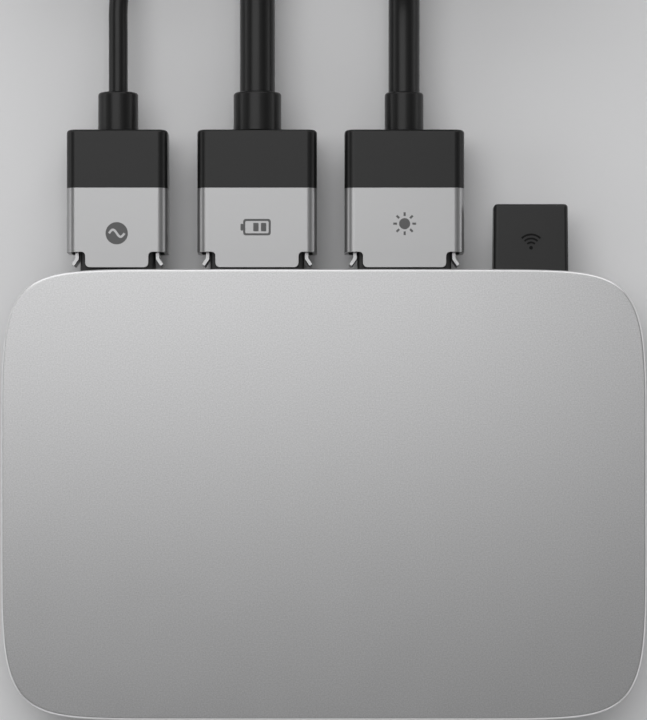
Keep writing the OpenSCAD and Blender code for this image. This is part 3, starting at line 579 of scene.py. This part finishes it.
def strapBand(name, lead, outline, closed):
    s = strapSet
    angle = math.radians(lead["tieAt"])
    out = Vector((math.cos(angle), math.sin(angle), 0))
    along = Vector((-math.sin(angle), math.cos(angle), 0))
    start = coilCentre(lead) - along * s["width"] / 2
    line = [(start + out * r + Vector((0, 0, z))) * mm for r, z in outline]
    clearSelection()
    bpy.ops.mesh.primitive_circle_add(vertices=len(line), fill_type="NOTHING")
    piece = bpy.context.object
    piece.name = name
    for v, spot in zip(piece.data.vertices, line):
        v.co = spot
    if not closed:
        ends = {0, len(line) - 1}
        editPart(piece, "EDGE", lambda e: set(e.vertices) == ends)
        bpy.ops.mesh.delete(type="EDGE_FACE")
    editPart(piece, "EDGE", lambda e: True)
    bpy.ops.mesh.extrude_region_move(TRANSFORM_OT_translate={"value": along * s["width"] * mm})
    bpy.ops.mesh.select_all(action="SELECT")
    bpy.ops.mesh.normals_make_consistent(inside=False)
    bpy.ops.object.mode_set(mode="OBJECT")
    middle = sum(line, Vector()) / len(line)
    if sum(f.normal.dot(f.center - middle) for f in piece.data.polygons) < 0:
        editPart(piece, "FACE", lambda f: True)
        bpy.ops.mesh.flip_normals()
        bpy.ops.object.mode_set(mode="OBJECT")
    applyModifier(piece, "SOLIDIFY", thickness=s["thickness"] * mm, offset=1.0, use_even_offset=True)
    applyModifier(piece, "BEVEL", width=s["edge"] * mm, segments=s["edgeSteps"], limit_method="ANGLE",
                  angle_limit=math.radians(s["sharp"]))
    smoothFaces(piece, s["smooth"])
    return piece


def strapPieces(key):
    lead, s = cordSet[key], strapSet
    reach = lead["diameter"] / 2 + s["gap"]
    ring = [2 * math.pi * k / s["samples"] for k in range(s["samples"])]
    section = hullOf([(r + reach * math.cos(a), z + reach * math.sin(a))
                      for r, z in turnsCut(lead) for a in ring])
    flapFrom = max(z for r, z in section) - lead["diameter"] * s["flap"]
    upper = sorted([p for p in section if p[1] > flapFrom], reverse=True)
    lifted = [(r, z + s["thickness"] + s["gap"]) for r, z in upper]
    pieces = [strapBand(key + "_coil_strap", lead, section, True),
              strapBand(key + "_strap_flap", lead, lifted, False)]
    for piece in pieces:
        wear(piece, "strap")
        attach(piece, key + "_lead")
    return pieces


straps = {key: strapPieces(key) for key in cordSet}
print("straps closed:", len(straps))


# front cover: a pan on the outline of the housing, with a rolled edge

coverSet = {
    "width": 242, "height": 169, "depth": 7.2, "wall": 2.5, "roof": 2.5,  # mm
    "edge": rollSet["height"], "edgeSteps": 6, "smooth": 35,
    "sideways": 10.8, "upright": 6.0,  # the powers of the outline: the higher, the squarer
    "points": 512, "level": 0.01,      # mm within which a point is at the face
}


def coverOutline(angle):
    c, s = math.cos(angle), math.sin(angle)
    x = math.copysign(abs(c) ** (2 / coverSet["sideways"]), c) * coverSet["width"] / 2
    y = math.copysign(abs(s) ** (2 / coverSet["upright"]), s) * coverSet["height"] / 2
    return x * mm, y * mm


def frontCover():
    c = coverSet
    skirtZ = frontZ - c["depth"] * mm
    clearSelection()
    bpy.ops.mesh.primitive_circle_add(vertices=c["points"], fill_type="NGON", location=(0, 0, 0))
    cover = bpy.context.object
    cover.name = "front_cover_pan"
    for k, v in enumerate(cover.data.vertices):
        v.co = (*coverOutline(2 * math.pi * (k + 0.5) / c["points"]), skirtZ)
    editPart(cover, "FACE", lambda f: True)
    bpy.ops.mesh.extrude_region_move(TRANSFORM_OT_translate={"value": (0, 0, c["depth"] * mm)})
    bpy.ops.mesh.select_all(action="SELECT")
    bpy.ops.mesh.normals_make_consistent(inside=False)
    editPart(cover, "FACE", lambda f: f.normal.z < -0.9)  # the underside
    bpy.ops.mesh.inset(thickness=c["wall"] * mm)
    bpy.ops.mesh.extrude_region_move(TRANSFORM_OT_translate={"value": (0, 0, (c["depth"] - c["roof"]) * mm)})
    bpy.ops.object.mode_set(mode="OBJECT")
    rim = {v.index for v in cover.data.vertices if v.co.z > frontZ - c["level"] * mm}
    editPart(cover, "EDGE", lambda e: rim.issuperset(e.vertices))
    bpy.ops.mesh.bevel(offset=c["edge"] * mm, segments=c["edgeSteps"], profile=0.5)
    smoothFaces(cover, c["smooth"])
    applyModifier(cover, "WEIGHTED_NORMAL", keep_sharp=True)
    wear(cover, "cover_aluminium")
    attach(cover, "inverter")
    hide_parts("front_cover")


frontCover()
print("cover shaped")


# CAD nodes that keep their shape get rounded edges and a finish

roundSet = {"weld": 0.001, "flat": 0.4, "sharp": 38, "smooth": 32}  # weld in mm, the others in degrees


def roundedNode(node, edge, segments=2, cut=None):
    piece = newPiece(node + "_piece", frame["nodes"][node].data.copy())
    makeActive(piece)
    bpy.ops.mesh.customdata_custom_splitnormals_clear()
    bpy.ops.object.mode_set(mode="EDIT")
    bpy.ops.mesh.select_all(action="SELECT")
    bpy.ops.mesh.remove_doubles(threshold=roundSet["weld"] * mm)
    bpy.ops.mesh.dissolve_limited(angle_limit=math.radians(roundSet["flat"]))
    bpy.ops.object.mode_set(mode="OBJECT")
    if cut:
        applyModifier(piece, "BOOLEAN", operation="DIFFERENCE", object=cut, solver="EXACT")
        bpy.data.objects.remove(cut)
    applyModifier(piece, "BEVEL", width=edge * mm, segments=segments, limit_method="ANGLE",
                  angle_limit=math.radians(roundSet["sharp"]))
    smoothFaces(piece, roundSet["smooth"])
    applyModifier(piece, "WEIGHTED_NORMAL", keep_sharp=True)
    wear(piece, slotOf[node])
    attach(piece, bodyOf[node])
    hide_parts(node)
    return piece


# screws in the back, each with a six-sided recess

screwSet = {"recess": 1.45, "depth": 1.1, "edge": 0.12, "head": 8, "level": 0.01}  # mm


def screwRecesses():  # cutters at the middle of each head, found from its lowest ring of points
    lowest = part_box("cover_screws")[0].z
    heads = []
    for v in frame["nodes"]["cover_screws"].data.vertices:
        if v.co.z < lowest + screwSet["level"] * mm:
            spot = v.co.to_2d()
            near = [ring for ring in heads if (ring[0] - spot).length < screwSet["head"] * mm]
            if near:
                near[0].append(spot)
            else:
                heads.append([spot])
    cutters = []
    for ring in heads:
        xs, ys = [p.x for p in ring], [p.y for p in ring]
        clearSelection()
        bpy.ops.mesh.primitive_cylinder_add(
            vertices=6, radius=screwSet["recess"] * mm, depth=2 * screwSet["depth"] * mm,
            location=((min(xs) + max(xs)) / 2, (min(ys) + max(ys)) / 2, lowest))
        cutters.append(bpy.context.object)
    makeActive(*cutters)
    bpy.ops.object.join()
    return cutters[0]


roundedNode("cover_screws", screwSet["edge"], cut=screwRecesses())


# the other rounded nodes: the edge in mm and its steps

nodeEdges = {
    "rear_housing": (0.3, 2), "cover_gasket": (0.15, 2), "antenna_cover": (0.35, 3),
    "ac_socket": (0.25, 2), "battery_socket": (0.25, 2), "solar_socket": (0.25, 2), "socket_pins": (0.1, 2),
    "ac_wall_plug": (0.4, 2), "ac_wall_pins": (0.15, 2), "battery_connector": (0.5, 3),
    "battery_terminals": (0.12, 2), "solar_splitter": (0.8, 3), "pv_connectors": (0.25, 2),
}
leadEdges = {
    "plug_shell": (0.22, 2), "plug_cap": (0.15, 2), "plug_insert": (0.2, 2), "plug_contacts": (0.08, 2),
    "latch_left": (0.14, 2), "latch_right": (0.14, 2), "strain_relief": (0.2, 2),
}
for key in cordSet:
    for part, edges in leadEdges.items():
        nodeEdges[key + "_" + part] = edges
rounded = {node: roundedNode(node, *edges) for node, edges in nodeEdges.items()}
print("nodes rounded:", len(rounded))


def connectorsByLead(piece):  # each photovoltaic connector goes with its own single lead
    makeActive(piece)
    bpy.ops.object.mode_set(mode="EDIT")
    bpy.ops.mesh.separate(type="LOOSE")
    bpy.ops.object.mode_set(mode="OBJECT")
    ends = {side: Vector(branch.data.splines[0].points[-1].co[:3]) for side, branch in branches.items()}
    near = {side: [] for side in branches}
    for part in list(bpy.context.selected_objects):
        gaps = {side: min((v.co - end).length for v in part.data.vertices) for side, end in ends.items()}
        near[min(gaps, key=gaps.get)].append(part)
    for parts in near.values():
        parts.sort(key=lambda part: part != piece)  # the piece itself goes first
        makeActive(*parts)
        if len(parts) > 1:
            bpy.ops.object.join()
    return {side: parts[0] for side, parts in near.items()}


connectors = connectorsByLead(rounded.pop("pv_connectors"))
for side, connector in connectors.items():
    connector.name = "pv_connector_" + branchNames[side]
    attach(connector, "solar_lead")
    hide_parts("pv_connectors")

for node, thing in frame["nodes"].items():
    if not thing.hide_render:
        wear(thing, slotOf[node])
print("inner nodes finished")


# printed signs on the plugs and the antenna block: flat outlines in mm, a hair above the face

signSet = {"height": 0.03, "lift": 0.01, "cornerSteps": 6}


def arcPoints(x, y, r, start, end, steps):
    angles = [math.radians(start + (end - start) * k / steps) for k in range(steps + 1)]
    return [(x + r * math.cos(a), y + r * math.sin(a)) for a in angles]


def disc(y, r, count):
    return arcPoints(0, y, r, 0, 360 - 360 / count, count - 1)


def roundBox(x, width, height, r):
    right, top = width / 2 - r, height / 2 - r
    corners = [(right, top, 0), (-right, top, 90), (-right, -top, 180), (right, -top, 270)]
    return [p for cx, cy, a in corners for p in arcPoints(x + cx, cy, r, a, a + 90, signSet["cornerSteps"])]


def ribbon(line, width):  # a band of even width along a line
    left, right = [], []
    for k, (x, y) in enumerate(line):
        (xa, ya), (xb, yb) = line[max(k - 1, 0)], line[min(k + 1, len(line) - 1)]
        length = math.hypot(xb - xa, yb - ya)
        nx, ny = (ya - yb) / length * width / 2, (xb - xa) / length * width / 2
        left.append((x + nx, y + ny))
        right.append((x - nx, y - ny))
    return left + right[::-1]


waveSet = {"disc": 4.2, "discPoints": 48, "reach": 2.9, "swing": 1.35, "line": 0.85, "steps": 28}


def waveSign():  # a mains wave in a disc
    w = waveSet
    shares = [k / w["steps"] for k in range(w["steps"] + 1)]
    wave = [(w["reach"] * (2 * f - 1), w["swing"] * math.sin(2 * math.pi * f)) for f in shares]
    return [disc(0, w["disc"], w["discPoints"]), ribbon(wave, w["line"])]


cellSet = {  # width, height and corner radius
    "outside": (10.4, 6.2, 1.0), "inside": (8.8, 4.6, 0.5),
    "knob": (1.0, 2.6, 0.4), "knobX": -5.7, "bar": (2.0, 3.2, 0.3), "barX": (2.5, -0.4),
}


def batterySign():  # a cell with two bars
    c = cellSet
    case = [roundBox(0, *c["outside"]), roundBox(0, *c["inside"]), roundBox(c["knobX"], *c["knob"])]
    return case + [roundBox(x, *c["bar"]) for x in c["barX"]]


sunSet = {"disc": 2.1, "discPoints": 36, "rays": 8, "rayFrom": 2.9, "rayTo": 4.3, "line": 0.8}


def sunSign():  # a disc with rays
    s = sunSet
    outlines = [disc(0, s["disc"], s["discPoints"])]
    for k in range(s["rays"]):
        a = 2 * math.pi * k / s["rays"]
        ray = [(r * math.cos(a), r * math.sin(a)) for r in (s["rayFrom"], s["rayTo"])]
        outlines.append(ribbon(ray, s["line"]))
    return outlines


radioSet = {"dotY": -2.2, "dot": 0.7, "dotPoints": 18, "arcs": (2.0, 3.5, 5.0), "arcSteps": 14, "line": 0.7}


def radioSign():  # a dot under three arcs
    r = radioSet
    arcs = [arcPoints(0, r["dotY"], radius, 45, 135, r["arcSteps"]) for radius in r["arcs"]]
    return [disc(r["dotY"], r["dot"], r["dotPoints"])] + [ribbon(arc, r["line"]) for arc in arcs]


def printSign(name, outlines, place, body, finish):
    curve = bpy.data.curves.new(name, "CURVE")
    curve.dimensions = "2D"
    curve.fill_mode = "BOTH"
    curve.extrude = signSet["height"] / 2 * mm
    for outline in outlines:
        spline = curve.splines.new("POLY")
        spline.points.add(len(outline) - 1)
        for spot, (x, y) in zip(spline.points, outline):
            spot.co = (x * mm, y * mm, 0, 1)
        spline.use_cyclic_u = True
    makeActive(newPiece(name, curve))
    bpy.ops.object.convert(target="MESH")
    sign = bpy.context.object
    sign.location = Vector(place) + Vector((0, 0, (signSet["height"] / 2 + signSet["lift"]) * mm))
    bpy.ops.object.transform_apply(location=True, rotation=True, scale=True)
    wear(sign, finish)
    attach(sign, body)


signs = {"ac": (waveSign, 12.8), "battery": (batterySign, 15.1), "solar": (sunSign, 16.4)}  # mm up the shell
for key, (draw, up) in signs.items():
    low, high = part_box(key + "_plug_shell")
    place = ((low.x + high.x) / 2, low.y + up * mm, high.z)
    printSign(key + "_plug_sign", draw(), place, key + "_lead", "printGrey")
antennaSign = {"down": 14.4, "faceZ": 22.7}  # mm from the block's far edge, and its face
low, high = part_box("antenna_cover")
place = ((low.x + high.x) / 2, high.y - antennaSign["down"] * mm, antennaSign["faceZ"] * mm)
printSign("antenna_sign", radioSign(), place, "inverter", "printBlack")
print("signs printed")


# the point where each cord leaves its strain relief, in m

for key, lead in cordSet.items():
    exitPoint = (lead["portX"] * mm, layout["reliefY"] * mm, layout["portZ"] * mm)


# floor, light and world

studio = {
    "floor": 0.86, "floorShade": 0.985, "floorSize": 14, "floorAt": (0, 0.2, -0.0002), "world": 0.15,
    "lamps": {  # place in m, aim in m, size in m, power in W
        "ceiling": ((-0.4, 0.63, 1.5), (-0.4, 0.63, 0), (1.34, 1.2), 9.2),
        "ceilingRight": ((0.62, 0.63, 1.5), (0.62, 0.63, 0), (0.7, 1.2), 0.75),
        "back": ((0, 3.57, 2.14), (0, 0, 0.03), (6.4, 2.56), 74.0),
        "front": ((0, -3.49, 2.27), (0, 0, 0.03), (6.4, 2.4), 27.6),
        "left": ((-3.66, 0.1, 1.6), (0, 0.1, 0.03), (6.4, 1.63), 12.5),
        "right": ((3.66, 0.1, 1.6), (0, 0.1, 0.03), (6.4, 1.63), 10.5),
        "backLow": ((0, 4.48, 0.64), (0, 0, 0.64), (8.0, 0.96), 38.0),
        "frontLow": ((0, -4.48, 0.64), (0, 0, 0.64), (8.0, 0.96), 30.7),
        "leftLow": ((-4.48, 0.1, 0.64), (0, 0.1, 0.64), (6.4, 0.96), 30.7),
        "rightLow": ((4.48, 0.1, 0.64), (0, 0.1, 0.64), (6.4, 0.96), 28.2),
    },
}
clearSelection()
bpy.ops.mesh.primitive_plane_add(size=studio["floorSize"], location=studio["floorAt"])
floor = bpy.context.object
floor.name = "studio_floor"
floorTones = (grey(studio["floor"] * studio["floorShade"]), grey(studio["floor"]))
finishes["floor"] = grained("floorPaint", *floorTones, 2.0, 0.8, 0.04, 0.01)
wear(floor, "floor")
for name, (place, aim, (width, height), power) in studio["lamps"].items():
    clearSelection()
    bpy.ops.object.light_add(type="AREA", location=place)
    lamp = bpy.context.object
    lamp.name = name
    lamp.data.shape = "RECTANGLE"
    lamp.data.size = width
    lamp.data.size_y = height
    lamp.data.energy = power
    lamp.rotation_euler = (Vector(aim) - Vector(place)).to_track_quat("-Z", "Y").to_euler()
world = bpy.context.scene.world or bpy.data.worlds.new("studio")
bpy.context.scene.world = world
world.use_nodes = True
sky = world.node_tree.nodes["Background"]
sky.inputs["Color"].default_value = (1, 1, 1, 1)
sky.inputs["Strength"].default_value = studio["world"]
print("studio lit")
